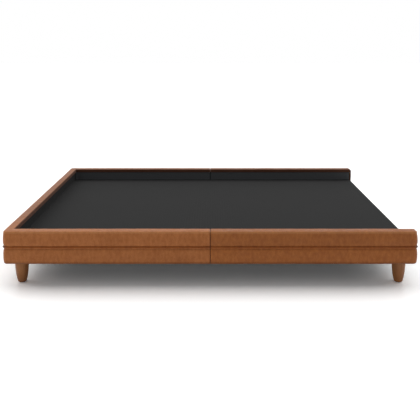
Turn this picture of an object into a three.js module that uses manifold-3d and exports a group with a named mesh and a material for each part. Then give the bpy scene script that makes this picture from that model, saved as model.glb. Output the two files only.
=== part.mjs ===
// Box spring bed base, queen size: two upholstered half boxes bolted together at mid-length,
// with a padded leather rim on three sides and a sunken, cloth-covered spring deck.
// Millimetres. +Z is up and the floor is z = 0. The foot end is at -X, the open head end at +X,
// and the origin is on the floor under the middle of the bed.

import * as THREE from "three";
import { mergeVertices } from "three/addons/utils/BufferGeometryUtils.js";
import Module from "manifold-3d";

const wasm = await Module();
wasm.setup();

// Driving dimensions: the whole base
const overallLength = 2110;
const overallWidth = 1664;
const legHeight = 115;
const railHeight = 170;
const recessDepth = 78;
const deckEndSetback = 9;
const fit = 0.3;

// Driving dimensions: upholstery
const rollDepth = 24;
const topPadding = 12;
const bottomPadding = 6;
const innerWrapThickness = 6;
const innerWrapDrop = 21;
const underWrapWidth = 14;
const headEndPadding = 12;
const jointEndPadding = 4;
const jointGap = 1.6;
const cornerRadius = 25;
const headInnerRadius = 6;
const jointEndRadius = 3.5;
const foldRadius = 2;
const topOuterRadius = 7.5;
const topInnerRadius = 6;
const bottomRadius = 11;
const crownRise = 0.8;
const crownShoulder = 12;
const seamDrop = 80;
const weltDiameter = 8;
const weltFlangeWidth = 3;
const weltFlangeThickness = 1;
const upperFullDrop = 50;
const lowerFullDrop = 120;
const seamInset = 5;
const topInset = 3;
const bottomInset = 2.5;

// Driving dimensions: timber frame
const sideBoardThickness = 30;
const footBoardThickness = 22;
const headBoardThickness = 22;
const jointBoardThickness = 22;
const ledgerWidth = 25;
const ledgerHeight = 18;
const stringerWidth = 60;
const slatsPerHalf = 4;
const slatWidth = 70;
const slatThickness = 16;
const blockLength = 100;
const blockWidth = 80;
const blockHeight = 60;

// Driving dimensions: deck
const deckClothThickness = 2.5;
const deckFoamThickness = 14;
const wireThickness = 4;
const springThickness = 3.2;
const gridLinesPerHalf = 6;
const gridEdgeGap = 15;
const springTopLength = 110;
const springFootLength = 50;
const dustClothThickness = 1.7;

// Driving dimensions: legs and fastenings
const legInset = 78;
const legTopRadius = 35;
const legBottomRadius = 22;
const legBoltRadius = 5;
const legBoltInLeg = 40;
const legBoltInBlock = 45;
const glideThickness = 3;
const glideRadius = 18;
const glidePinRadius = 3;
const glidePinLength = 10;
const postOffset = 350;
const postRadius = 16;
const postPlateRadius = 32;
const postPlateThickness = 3;
const screwFootRadius = 20;
const screwFootHeight = 9;
const screwRadius = 5;
const screwLength = 60;
const screwFootTravel = 12;
const jointBoltRadius = 4;
const jointBoltHeadRadius = 8;
const jointBoltHeadHeight = 6;
const jointBoltSpacing = 800;

// Heights
const railTop = legHeight + railHeight;
const boardBottom = legHeight + bottomPadding;
const boardTop = railTop - topPadding;
const seamZ = railTop - seamDrop;
const deckTop = railTop - recessDepth;
const foamTop = deckTop - deckClothThickness - fit;
const foamBottom = foamTop - deckFoamThickness;
const supportTop = foamBottom - fit;
const ledgerTop = boardBottom + ledgerHeight;
const slatBottom = ledgerTop + fit;
const slatTop = slatBottom + slatThickness;
const dustTop = boardBottom - fit;
const liningTop = railTop - innerWrapDrop;

// Places across the width, as distances from the centre plane
const halfWidth = overallWidth / 2;
const boardOuterY = halfWidth - rollDepth;
const boardInnerY = boardOuterY - sideBoardThickness;
const recessY = boardInnerY - innerWrapThickness;
const wrapEdgeY = boardOuterY - underWrapWidth;

// Places along the length, as distances from the mid-length joint
const halfLength = overallLength / 2;
const jointX = jointGap / 2;
const sideBoardStart = jointX + jointEndPadding;
const footBoardOuterX = halfLength - rollDepth;
const footBoardInnerX = footBoardOuterX - footBoardThickness;
const footRecessX = footBoardInnerX - innerWrapThickness;
const deckEndX = halfLength - deckEndSetback;
const headBoardOuterX = deckEndX - deckClothThickness - fit;
const headBoardInnerX = headBoardOuterX - headBoardThickness;
const headSideBoardEnd = halfLength - headEndPadding;
const jointBoardOuterX = fit / 2;
const jointBoardInnerX = jointBoardOuterX + jointBoardThickness;

// Each half mirrors the other about the joint, apart from its end.
const footHalf = {
  name: "foot",
  sign: -1,
  sideBoardEnd: footBoardOuterX,
  endBoardInner: footBoardInnerX,
  deckFoamEnd: footBoardInnerX - fit,
  dustClothEnd: footBoardOuterX - underWrapWidth - fit,
};
const headHalf = {
  name: "head",
  sign: 1,
  sideBoardEnd: headSideBoardEnd,
  endBoardInner: headBoardInnerX,
  deckFoamEnd: headBoardOuterX,
  dustClothEnd: headBoardOuterX - fit,
};
const sides = [
  { name: "front", sign: -1 },
  { name: "back", sign: 1 },
];

const leather = new THREE.MeshStandardMaterial({ color: 0x8d5b3a, roughness: 0.5 });
const weltLeather = new THREE.MeshStandardMaterial({ color: 0x4a2a18, roughness: 0.55 });
const pine = new THREE.MeshStandardMaterial({ color: 0xd2b183, roughness: 0.7 });
const beech = new THREE.MeshStandardMaterial({ color: 0xb98a5c, roughness: 0.65 });
const walnutStain = new THREE.MeshStandardMaterial({ color: 0x6b4a30, roughness: 0.45 });
const deckCloth = new THREE.MeshStandardMaterial({ color: 0x373737, roughness: 0.95 });
const blackCloth = new THREE.MeshStandardMaterial({ color: 0x1c1c1e, roughness: 0.95 });
const foam = new THREE.MeshStandardMaterial({ color: 0xe2dcc4, roughness: 0.9 });
const zincSteel = new THREE.MeshStandardMaterial({ color: 0xa7abae, roughness: 0.35, metalness: 1 });
const blackSteel = new THREE.MeshStandardMaterial({ color: 0x202224, roughness: 0.5, metalness: 0.6 });
const blackPlastic = new THREE.MeshStandardMaterial({ color: 0x18181a, roughness: 0.6 });

const bed = new THREE.Group();

// A closed geometry as a solid for cutting and joining
function solidOf(geometry) {
  const points = geometry.clone();
  points.deleteAttribute("normal");
  points.deleteAttribute("uv");
  const merged = mergeVertices(points, 1e-4);
  return new wasm.Manifold(
    new wasm.Mesh({
      numProp: 3,
      vertProperties: merged.attributes.position.array,
      triVerts: new Uint32Array(merged.index.array),
    }),
  );
}

function geometryOf(solid) {
  const cut = solid.getMesh();
  const positions = new Float32Array(cut.numVert * 3);
  for (let vertex = 0; vertex < cut.numVert; vertex += 1) {
    const start = vertex * cut.numProp;
    positions.set(cut.vertProperties.subarray(start, start + 3), vertex * 3);
  }
  const geometry = new THREE.BufferGeometry();
  geometry.setAttribute("position", new THREE.BufferAttribute(positions, 3));
  geometry.setIndex(new THREE.BufferAttribute(cut.triVerts, 1));
  return geometry;
}

function addMesh(name, material, geometry) {
  const mesh = new THREE.Mesh(geometry, material);
  mesh.name = name;
  bed.add(mesh);
  return mesh;
}

// A box between two limits on each axis, in either order
function boxBetween(x, y, z) {
  const size = [x, y, z].map(([from, to]) => Math.abs(to - from));
  const middle = [x, y, z].map(([from, to]) => (from + to) / 2);
  return new THREE.BoxGeometry(...size).translate(...middle);
}

function addBox(name, material, x, y, z) {
  const size = [x, y, z].map(([from, to]) => Math.abs(to - from));
  const mesh = addMesh(name, material, new THREE.BoxGeometry(...size));
  mesh.position.set(...[x, y, z].map(([from, to]) => (from + to) / 2));
  return mesh;
}

const cutAway = (solid, ...geometries) =>
  geometries.reduce((rest, geometry) => rest.subtract(solidOf(geometry)), solid);

// A turned solid about a vertical axis, from [radius, height] points that start and end on it
function turned(profile, segments) {
  return new THREE.LatheGeometry(
    profile.map(([radius, height]) => new THREE.Vector2(radius, height)),
    segments,
  ).rotateX(Math.PI / 2);
}

// A polygon whose corners are rounded, each with its own radius and number of steps
function roundedLoop(corners) {
  const loop = [];
  corners.forEach(({ x, y, radius, steps }, index) => {
    const here = new THREE.Vector2(x, y);
    const before = corners[(index + corners.length - 1) % corners.length];
    const after = corners[(index + 1) % corners.length];
    const incoming = new THREE.Vector2(before.x, before.y).sub(here).normalize();
    const outgoing = new THREE.Vector2(after.x, after.y).sub(here).normalize();
    for (let step = 0; step <= steps; step += 1) {
      const angle = (step / steps) * (Math.PI / 2);
      const alongIn = radius * (1 - Math.sin(angle));
      const alongOut = radius * (1 - Math.cos(angle));
      loop.push(here.clone().addScaledVector(incoming, alongIn).addScaledVector(outgoing, alongOut));
    }
  });
  return loop;
}

// A closed solid through loops of points that lie at rising heights
function stackedSolid(levels) {
  const count = levels[0].loop.length;
  const positions = levels.flatMap(({ loop, z }) => loop.flatMap((point) => [point.x, point.y, z]));
  const index = [];
  for (let level = 0; level + 1 < levels.length; level += 1) {
    for (let k = 0; k < count; k += 1) {
      const a = level * count + k;
      const b = level * count + ((k + 1) % count);
      index.push(a, b, b + count, a, b + count, a + count);
    }
  }
  const last = (levels.length - 1) * count;
  for (const [a, b, c] of THREE.ShapeUtils.triangulateShape(levels[0].loop, [])) {
    index.push(c, b, a);
  }
  for (const [a, b, c] of THREE.ShapeUtils.triangulateShape(levels[levels.length - 1].loop, [])) {
    index.push(last + a, last + b, last + c);
  }
  const geometry = new THREE.BufferGeometry();
  geometry.setAttribute("position", new THREE.Float32BufferAttribute(positions, 3));
  geometry.setIndex(index);
  return geometry;
}

// Face of a padded roll: how far it lies inside the roll's fullest line at a height. It bellies
// out from one edge to the fullest height and draws in again towards the other edge.
function rollFace(z, low, full, high, lowInset, highInset) {
  if (z < full) {
    return lowInset * ((full - z) / (full - low)) ** 2.4;
  }
  return highInset * ((z - full) / (high - full)) ** 2;
}

const spread = (from, to, steps) =>
  Array.from({ length: steps + 1 }, (_, step) => from + ((to - from) * step) / steps);

// Outline heights of the upper roll, each with its inset from the outer, inner and joint faces
function upperRollLevels() {
  const grooveDepth = weltDiameter + 2 * fit;
  const seamFace = seamZ + weltFlangeThickness / 2 + fit;
  const low = seamZ + weltDiameter / 2 + fit;
  const high = railTop - crownRise - topOuterRadius;
  const full = railTop - upperFullDrop;
  const levels = [
    { z: seamFace, outer: grooveDepth },
    { z: (seamFace + low) / 2, outer: (2 * grooveDepth + seamInset) / 3 },
  ];
  for (const z of [...spread(low, full, 4), ...spread(full, high, 4).slice(1)]) {
    levels.push({ z, outer: rollFace(z, low, full, high, seamInset, topInset) });
  }
  for (const angle of spread(0, Math.PI / 2, 4).slice(1)) {
    levels.push({
      z: high + topOuterRadius * Math.sin(angle),
      outer: topInset + topOuterRadius * (1 - Math.cos(angle)),
    });
  }
  const shoulder = levels[levels.length - 1];
  levels.push({ z: railTop, outer: shoulder.outer + crownShoulder, crown: crownShoulder });
  return levels.map(({ z, outer, crown = 0 }) => {
    const above = Math.max(0, Math.min(z, shoulder.z) - (shoulder.z - topInnerRadius));
    const rounding = topInnerRadius - Math.sqrt(topInnerRadius ** 2 - above ** 2);
    return { z, outer, inner: rounding + crown, joint: Math.min(rounding, jointEndRadius / 2) };
  });
}

// The same for the lower roll, which is drawn under the boards at its foot
function lowerRollLevels() {
  const grooveDepth = weltDiameter + 2 * fit;
  const seamFace = seamZ - weltFlangeThickness / 2 - fit;
  const high = seamZ - weltDiameter / 2 - fit;
  const low = legHeight + bottomRadius;
  const full = railTop - lowerFullDrop;
  const levels = spread(Math.PI / 2, 0, 4)
    .slice(0, -1)
    .map((angle) => ({
      z: legHeight + bottomRadius * (1 - Math.sin(angle)),
      outer: bottomInset + bottomRadius * (1 - Math.cos(angle)),
    }));
  for (const z of [...spread(low, full, 4), ...spread(full, high, 4).slice(1)]) {
    levels.push({ z, outer: rollFace(z, low, full, high, bottomInset, seamInset) });
  }
  levels.push({ z: (seamFace + high) / 2, outer: (2 * grooveDepth + seamInset) / 3 });
  levels.push({ z: seamFace, outer: grooveDepth });
  return levels.map(({ z, outer }) => ({ z, outer, inner: 0, joint: 0 }));
}

// Plan outlines of the rim at one level: the foot half's rim runs round three sides, and the
// head half has one rail on each side, whose end turns the corner at the open head end.
function footRimLoop({ outer, inner, joint }) {
  const outerX = -halfLength + outer;
  const outerY = halfWidth - outer;
  const innerX = -footRecessX - inner;
  const innerY = recessY + inner;
  const endX = -jointX - joint;
  const corner = { radius: Math.max(cornerRadius - outer, 1), steps: 6 };
  const end = { radius: jointEndRadius, steps: 3 };
  const fold = { radius: foldRadius + inner, steps: 2 };
  return roundedLoop([
    { x: outerX, y: -outerY, ...corner },
    { x: endX, y: -outerY, ...end },
    { x: endX, y: -innerY, ...end },
    { x: innerX, y: -innerY, ...fold },
    { x: innerX, y: innerY, ...fold },
    { x: endX, y: innerY, ...end },
    { x: endX, y: outerY, ...end },
    { x: outerX, y: outerY, ...corner },
  ]);
}

function headRailLoop({ outer, inner, joint }) {
  const outerX = halfLength - outer;
  const outerY = halfWidth - outer;
  const innerY = recessY + inner;
  const startX = jointX + joint;
  const end = { radius: jointEndRadius, steps: 3 };
  return roundedLoop([
    { x: startX, y: -outerY, ...end },
    { x: outerX, y: -outerY, radius: Math.max(cornerRadius - outer, 1), steps: 6 },
    { x: outerX, y: -innerY, radius: headInnerRadius, steps: 3 },
    { x: startX, y: -innerY, ...end },
  ]);
}

// Timber that the upholstery is wrapped round, as boxes that can be grown by a clearance
const sideBoardBox = (half, side, grow = 0) =>
  boxBetween(
    [half.sign * (sideBoardStart - grow), half.sign * (half.sideBoardEnd + grow)],
    [side.sign * (boardInnerY - grow), side.sign * (boardOuterY + grow)],
    [boardBottom - grow, boardTop + grow],
  );
const footBoardBox = (grow = 0) =>
  boxBetween(
    [-footBoardOuterX - grow, -footBoardInnerX + grow],
    [-boardInnerY, boardInnerY],
    [boardBottom - grow, boardTop + grow],
  );

// The space inside the boards, and the strip of their undersides that the dust covers take
function insideBox(fromZ, toZ) {
  return boxBetween([-footBoardInnerX, deckEndX + fit], [-boardInnerY, boardInnerY], [fromZ, toZ]);
}
const dustCoverBox = () =>
  boxBetween(
    [-footBoardOuterX + underWrapWidth, headBoardOuterX],
    [-wrapEdgeY, wrapEdgeY],
    [legHeight - 1, boardBottom],
  );

function addRolls() {
  const rolls = [
    { name: "upper_pad", levels: upperRollLevels(), inside: insideBox(seamZ - 1, liningTop) },
    { name: "lower_pad", levels: lowerRollLevels(), inside: insideBox(legHeight - 1, seamZ + 1) },
  ];
  for (const { name, levels, inside } of rolls) {
    const stack = (loopOf) => {
      const loops = levels.map((level) => ({ z: level.z, loop: loopOf(level) }));
      return solidOf(stackedSolid(loops));
    };
    const footRim = cutAway(
      stack(footRimLoop),
      ...sides.map((side) => sideBoardBox(footHalf, side, fit)),
      footBoardBox(fit),
      inside,
      dustCoverBox(),
    );
    addMesh(`foot_half_${name}`, leather, geometryOf(footRim));
    const headRail = cutAway(
      stack(headRailLoop),
      sideBoardBox(headHalf, sides[0], fit),
      inside,
      dustCoverBox(),
    );
    for (const side of sides) {
      const mesh = addMesh(`${side.name}_head_${name}`, leather, geometryOf(headRail));
      mesh.scale.y = -side.sign;
    }
  }
}

// An open path of right-angled turns, moved inwards by an inset and rounded about fixed centres
function insetPath(corners, inset, steps) {
  const points = corners.map(([x, y]) => new THREE.Vector2(x, y));
  const headings = points.slice(1).map((point, k) => point.clone().sub(points[k]).normalize());
  const inwards = headings.map(({ x, y }) => new THREE.Vector2(-y, x));
  const path = [points[0].clone().addScaledVector(inwards[0], inset)];
  for (let turn = 1; turn < headings.length; turn += 1) {
    const centre = points[turn]
      .clone()
      .addScaledVector(inwards[turn - 1], cornerRadius)
      .addScaledVector(inwards[turn], cornerRadius);
    for (let step = 0; step <= steps; step += 1) {
      const angle = (step / steps) * (Math.PI / 2);
      const reach = Math.max(cornerRadius - inset, 1);
      path.push(
        centre
          .clone()
          .addScaledVector(inwards[turn - 1], -reach * Math.cos(angle))
          .addScaledVector(inwards[turn], -reach * Math.sin(angle)),
      );
    }
  }
  path.push(points[points.length - 1].clone().addScaledVector(inwards[inwards.length - 1], inset));
  return path;
}

// Piping: a round cord in leather with the flange that is sewn into the seam
function weltGeometry(corners) {
  const radius = weltDiameter / 2;
  const halfFlange = weltFlangeThickness / 2;
  const flangeStart = Math.asin(halfFlange / radius);
  const section = spread(flangeStart, 2 * Math.PI - flangeStart, 9).map((angle) => [
    radius + radius * Math.cos(angle),
    seamZ + radius * Math.sin(angle),
  ]);
  section.push([weltDiameter + weltFlangeWidth, seamZ - halfFlange]);
  section.push([weltDiameter + weltFlangeWidth, seamZ + halfFlange]);
  const lines = section.map(([inset, z]) => insetPath(corners, inset, 6).map(({ x, y }) => [x, y, z]));
  const count = section.length;
  const stations = lines[0].length;
  const index = [];
  for (let station = 0; station + 1 < stations; station += 1) {
    for (let k = 0; k < count; k += 1) {
      const a = station * count + k;
      const b = station * count + ((k + 1) % count);
      index.push(a, b, b + count, a, b + count, a + count);
    }
  }
  const outline = section.map(([inset, z]) => new THREE.Vector2(inset, z));
  const last = (stations - 1) * count;
  for (const [a, b, c] of THREE.ShapeUtils.triangulateShape(outline, [])) {
    index.push(a, c, b, last + a, last + b, last + c);
  }
  const positions = spread(0, stations - 1, stations - 1).flatMap((station) =>
    lines.flatMap((line) => line[Math.round(station)]),
  );
  const geometry = new THREE.BufferGeometry();
  geometry.setAttribute("position", new THREE.Float32BufferAttribute(positions, 3));
  geometry.setIndex(index);
  return geometry;
}

function addWelts() {
  const footPath = [
    [-jointX, halfWidth],
    [-halfLength, halfWidth],
    [-halfLength, -halfWidth],
    [-jointX, -halfWidth],
  ];
  addMesh("foot_half_welt", weltLeather, weltGeometry(footPath));
  const headPath = [
    [jointX, -halfWidth],
    [halfLength, -halfWidth],
    [halfLength, -recessY - headInnerRadius],
  ];
  for (const side of sides) {
    const mesh = addMesh(`${side.name}_head_welt`, weltLeather, weltGeometry(headPath));
    mesh.scale.y = -side.sign;
  }
}

function addBoards() {
  for (const half of [footHalf, headHalf]) {
    for (const side of sides) {
      addMesh(`${side.name}_${half.name}_board`, pine, sideBoardBox(half, side));
    }
  }
  const between = [-boardInnerY + fit, boardInnerY - fit];
  addBox("foot_board", pine, [-footBoardOuterX, -footBoardInnerX], between, [boardBottom, boardTop]);
  addBox("head_board", pine, [headBoardInnerX, headBoardOuterX], between, [boardBottom, supportTop]);
}

// Cross boards, one on each half, with a hole for each joint bolt
function jointBoltPlaces() {
  const z = (slatTop + supportTop) / 2;
  return sides.map((side) => ({ side, y: (side.sign * jointBoltSpacing) / 2, z }));
}

function addJoint() {
  const reach = jointBoardInnerX + fit;
  const holes = jointBoltPlaces().map(({ y, z }) =>
    new THREE.CylinderGeometry(jointBoltRadius + fit, jointBoltRadius + fit, 3 * reach, 16)
      .rotateZ(Math.PI / 2)
      .translate(0, y, z),
  );
  for (const { name, sign } of [footHalf, headHalf]) {
    const board = boxBetween(
      [sign * jointBoardOuterX, sign * jointBoardInnerX],
      [-boardInnerY + fit, boardInnerY - fit],
      [boardBottom, supportTop],
    );
    addMesh(`${name}_joint_board`, pine, geometryOf(cutAway(solidOf(board), ...holes)));
  }
  const shankLength = 2 * jointBoardInnerX;
  const head = new THREE.CylinderGeometry(jointBoltHeadRadius, jointBoltHeadRadius, jointBoltHeadHeight, 6)
    .translate(0, (shankLength + jointBoltHeadHeight) / 2 + fit, 0);
  const shank = new THREE.CylinderGeometry(jointBoltRadius, jointBoltRadius, shankLength + 2 * fit, 12);
  const bolt = geometryOf(solidOf(head).add(solidOf(shank)));
  for (const { side, y, z } of jointBoltPlaces()) {
    const mesh = addMesh(`joint_bolt_${side.name}`, zincSteel, bolt);
    mesh.rotation.z = Math.PI / 2;
    mesh.position.set(0, y, z);
  }
}

// Corner blocks carry the legs, and the ledgers run from them to the joint board.
const blockEnd = (half) => half.endBoardInner - fit - blockLength;
const legPlace = (half, side) => [half.sign * (halfLength - legInset), side.sign * (halfWidth - legInset)];

function addCarcassInside(half) {
  const { sign, name } = half;
  for (const side of sides) {
    const [legX, legY] = legPlace(half, side);
    const block = boxBetween(
      [sign * blockEnd(half), sign * (half.endBoardInner - fit)],
      [side.sign * (boardInnerY - fit - blockWidth), side.sign * (boardInnerY - fit)],
      [legHeight, legHeight + blockHeight],
    );
    const depth = legBoltInBlock + fit;
    const hole = new THREE.CylinderGeometry(legBoltRadius + fit, legBoltRadius + fit, 2 * depth, 16)
      .rotateX(Math.PI / 2)
      .translate(legX, legY, legHeight);
    const place = `${side.name}_${name}`;
    addMesh(`${place}_corner_block`, beech, geometryOf(cutAway(solidOf(block), hole)));
    addBox(
      `${place}_ledger`,
      pine,
      [sign * (jointBoardInnerX + fit), sign * (blockEnd(half) - fit)],
      [side.sign * (boardInnerY - fit - ledgerWidth), side.sign * (boardInnerY - fit)],
      [boardBottom, ledgerTop],
    );
  }
  addBox(
    `${name}_stringer`,
    pine,
    [sign * (jointBoardInnerX + fit), sign * (half.endBoardInner - fit)],
    [-stringerWidth / 2, stringerWidth / 2],
    [boardBottom, ledgerTop],
  );
}

const slatPlaces = (half) => {
  const start = jointBoardInnerX + fit;
  const pitch = (blockEnd(half) - fit - start) / slatsPerHalf;
  return Array.from({ length: slatsPerHalf }, (_, k) => start + pitch * (k + 0.5));
};

function addSlats(half) {
  slatPlaces(half).forEach((place, k) => {
    addBox(
      `${half.name}_slat_${k + 1}`,
      pine,
      [half.sign * (place - slatWidth / 2), half.sign * (place + slatWidth / 2)],
      [-boardInnerY + fit, boardInnerY - fit],
      [slatBottom, slatTop],
    );
  });
}

// Spring unit: lines of wire run the length of the half at deck level, with a formed-wire spring
// under each one on every slat, and cross wires tie the lines into one welded grid.
function trapezoidPrism(place, y, depth, top, bottom, topHalf, bottomHalf) {
  const outline = new THREE.Shape([
    new THREE.Vector2(place - topHalf, top),
    new THREE.Vector2(place - bottomHalf, bottom),
    new THREE.Vector2(place + bottomHalf, bottom),
    new THREE.Vector2(place + topHalf, top),
  ]);
  return new THREE.ExtrudeGeometry(outline, { depth, bevelEnabled: false, steps: 1 })
    .rotateX(Math.PI / 2)
    .translate(0, y + depth / 2, 0);
}

// The line wires lie under the cross wires, sunk into them by a quarter of their thickness.
const crossWireHeights = [supportTop - wireThickness, supportTop];
const lineWireHeights = crossWireHeights.map((z) => z - 0.75 * wireThickness);

function formedSpring(place, y) {
  const foot = slatTop + fit;
  const [lineBottom, lineTop] = lineWireHeights;
  const bodyTop = (lineBottom + lineTop) / 2;
  const eyeTop = (3 * lineBottom + lineTop) / 4;
  const body = trapezoidPrism(
    place,
    y,
    springThickness,
    bodyTop,
    foot,
    springTopLength / 2,
    springFootLength / 2,
  );
  const eye = trapezoidPrism(
    place,
    y,
    2 * springThickness,
    eyeTop,
    foot + springThickness,
    springTopLength / 2 - 1.5 * springThickness,
    springFootLength / 2 - springThickness / 2,
  );
  return cutAway(solidOf(body), eye);
}

function addSpringUnit(half) {
  const from = jointBoardInnerX + gridEdgeGap;
  const to = half.endBoardInner - gridEdgeGap;
  const reachY = boardInnerY - gridEdgeGap;
  const radius = wireThickness / 2;
  const places = slatPlaces(half);
  const lineGap = (2 * reachY) / gridLinesPerHalf;
  const lines = Array.from({ length: gridLinesPerHalf }, (_, k) => -reachY + lineGap * (k + 0.5));
  const wires = [
    ...[radius - reachY, ...lines, reachY - radius].map((y) =>
      boxBetween([from, to], [y - radius, y + radius], lineWireHeights),
    ),
    ...[from + wireThickness, ...places, to - wireThickness].map((x) =>
      boxBetween([x - radius, x + radius], [-reachY - 1, reachY + 1], crossWireHeights),
    ),
  ].map(solidOf);
  const springs = lines.flatMap((y) => places.map((place) => formedSpring(place, y)));
  const unit = [...wires, ...springs].reduce((joined, wire) => joined.add(wire));
  const mesh = addMesh(`${half.name}_spring_unit`, zincSteel, geometryOf(unit));
  mesh.scale.x = half.sign;
}

function addDeck() {
  for (const half of [footHalf, headHalf]) {
    addBox(
      `${half.name}_deck_foam`,
      foam,
      [half.sign * jointBoardOuterX, half.sign * half.deckFoamEnd],
      [-boardInnerY + fit, boardInnerY - fit],
      [foamBottom, foamTop],
    );
  }
  // One cloth over both halves: turned up the boards on three sides, and down over the head board
  const outerX = -footBoardInnerX + fit;
  const outerY = boardInnerY - fit;
  const sheetBottom = deckTop - deckClothThickness;
  const tray = boxBetween([outerX, deckEndX], [-outerY, outerY], [sheetBottom, liningTop - fit]);
  const recess = boxBetween(
    [outerX + deckClothThickness, deckEndX + 1],
    [-outerY + deckClothThickness, outerY - deckClothThickness],
    [deckTop, liningTop + 1],
  );
  const flapX = [deckEndX - deckClothThickness, deckEndX];
  const flap = boxBetween(flapX, [-outerY, outerY], [boardBottom, sheetBottom + 1]);
  const cover = cutAway(solidOf(tray), recess).add(solidOf(flap));
  // The flap's edges are turned in clear of the leather at the rail ends.
  const turnIns = sides.map(({ sign }) =>
    boxBetween(
      [flapX[0], deckEndX + 1],
      [sign * (recessY - fit), sign * (outerY + 1)],
      [boardBottom - 1, liningTop],
    ),
  );
  addMesh("deck_cover", deckCloth, geometryOf(cutAway(cover, ...turnIns)));
}

function addDustCover(half) {
  const { sign, name } = half;
  const sheet = boxBetween(
    [sign * jointX, sign * half.dustClothEnd],
    [-wrapEdgeY + fit, wrapEdgeY - fit],
    [dustTop - dustClothThickness, dustTop],
  );
  const height = [dustTop - 2 * dustClothThickness, dustTop + 1];
  const clearance = 2 * fit;
  const cuts = sides.map((side) =>
    boxBetween(
      [sign * (blockEnd(half) - clearance), sign * (half.endBoardInner - fit + clearance)],
      [
        side.sign * (boardInnerY - fit - blockWidth - clearance),
        side.sign * (boardInnerY - fit + clearance),
      ],
      height,
    ),
  );
  cuts.push(
    new THREE.CylinderGeometry(postPlateRadius + clearance, postPlateRadius + clearance, 20, 32)
      .rotateX(Math.PI / 2)
      .translate(sign * postOffset, 0, dustTop),
  );
  addMesh(`${name}_dust_cover`, blackCloth, geometryOf(cutAway(solidOf(sheet), ...cuts)));
}

// Turned leg: near straight at the top, then drawn in along one curve to a narrow foot
function addLegs(half) {
  const legTop = legHeight - fit;
  const legBottom = glideThickness + fit;
  const side = new THREE.CubicBezierCurve(
    new THREE.Vector2(legBottomRadius, legBottom),
    new THREE.Vector2(0.55 * legTopRadius + 0.45 * legBottomRadius, 0.25 * legTop),
    new THREE.Vector2(legTopRadius, 0.55 * legTop),
    new THREE.Vector2(legTopRadius, legTop),
  );
  const boltHole = legBoltRadius + fit;
  const pinHole = glidePinRadius + fit;
  const pinTop = glideThickness + glidePinLength;
  const legProfile = [
    [0, pinTop + fit],
    [pinHole, pinTop + fit],
    [pinHole, legBottom],
    ...side.getPoints(9).map(({ x, y }) => [x, y]),
    [boltHole, legTop],
    [boltHole, legTop - legBoltInLeg - fit],
    [0, legTop - legBoltInLeg - fit],
  ];
  const boltProfile = [
    [0, legTop - legBoltInLeg],
    [legBoltRadius, legTop - legBoltInLeg],
    [legBoltRadius, legHeight + legBoltInBlock],
    [0, legHeight + legBoltInBlock],
  ];
  const glideProfile = [
    [0, 0],
    [glideRadius - 1, 0],
    [glideRadius, 1],
    [glideRadius, glideThickness],
    [glidePinRadius, glideThickness],
    [glidePinRadius, pinTop],
    [0, pinTop],
  ];
  for (const end of sides) {
    const place = `${end.name}_${half.name}`;
    const [x, y] = legPlace(half, end);
    addMesh(`${place}_leg`, walnutStain, turned(legProfile, 24)).position.set(x, y, 0);
    addMesh(`${place}_leg_bolt`, zincSteel, turned(boltProfile, 12)).position.set(x, y, 0);
    addMesh(`${place}_glide`, blackPlastic, turned(glideProfile, 20)).position.set(x, y, 0);
  }
}

// Centre leg: a steel post under the stringer, with a foot that screws up into it
function addCentreLeg(half) {
  const postTop = boardBottom - fit;
  const postBottom = screwFootHeight + screwFootTravel + 1;
  const screwTop = screwFootHeight + screwLength;
  const boreTop = screwTop + screwFootTravel + 1;
  const postProfile = [
    [0, boreTop],
    [screwRadius + fit, boreTop],
    [screwRadius + fit, postBottom],
    [postRadius, postBottom],
    [postRadius, postTop - postPlateThickness],
    [postPlateRadius, postTop - postPlateThickness],
    [postPlateRadius, postTop],
    [0, postTop],
  ];
  const footProfile = [
    [0, 0],
    [screwFootRadius - 2, 0],
    [screwFootRadius, 2],
    [screwFootRadius, screwFootHeight - 3],
    [2 * screwRadius, screwFootHeight],
    [screwRadius, screwFootHeight],
    [screwRadius, screwTop],
    [0, screwTop],
  ];
  const x = half.sign * postOffset;
  addMesh(`${half.name}_centre_post`, blackSteel, turned(postProfile, 20)).position.set(x, 0, 0);
  addMesh(`${half.name}_centre_foot`, blackPlastic, turned(footProfile, 20)).position.set(x, 0, 0);
}

addRolls();
addWelts();
addBoards();
addJoint();
for (const half of [footHalf, headHalf]) {
  addCarcassInside(half);
  addSlats(half);
  addSpringUnit(half);
  addDustCover(half);
  addLegs(half);
  addCentreLeg(half);
}
addDeck();

export default bed;
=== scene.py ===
import math

import bmesh
import bpy
import numpy as np
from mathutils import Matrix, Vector, noise


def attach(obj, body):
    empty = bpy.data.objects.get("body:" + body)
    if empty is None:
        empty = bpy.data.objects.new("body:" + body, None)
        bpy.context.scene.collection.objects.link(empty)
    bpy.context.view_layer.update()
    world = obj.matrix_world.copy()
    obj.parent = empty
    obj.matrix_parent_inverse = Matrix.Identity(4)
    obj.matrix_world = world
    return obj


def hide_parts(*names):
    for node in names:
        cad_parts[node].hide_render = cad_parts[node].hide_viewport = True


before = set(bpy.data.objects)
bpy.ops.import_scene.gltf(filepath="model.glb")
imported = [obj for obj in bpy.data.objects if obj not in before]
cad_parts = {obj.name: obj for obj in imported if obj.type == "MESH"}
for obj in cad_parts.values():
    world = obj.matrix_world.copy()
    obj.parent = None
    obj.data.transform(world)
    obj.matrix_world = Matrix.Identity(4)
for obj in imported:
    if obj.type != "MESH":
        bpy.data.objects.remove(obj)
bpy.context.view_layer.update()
scene = bpy.context.scene

# Viewpoint: straight across the bed from its front side, a little above it. The photograph's
# uprights stay upright, so part of the downward look is a lens shift, as on a studio camera.
camera_data = bpy.data.cameras.new("camera")
camera_data.sensor_width = 36.0
camera_data.lens = 56.04
camera_data.shift_x = -0.0006
camera_data.shift_y = -0.2544
camera = bpy.data.objects.new("camera", camera_data)
camera.location = (0.0, -4.0516, 1.248)
camera.rotation_euler = (math.radians(90 - 5.5), 0.0, 0.0)
scene.collection.objects.link(camera)
scene.camera = camera


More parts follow.
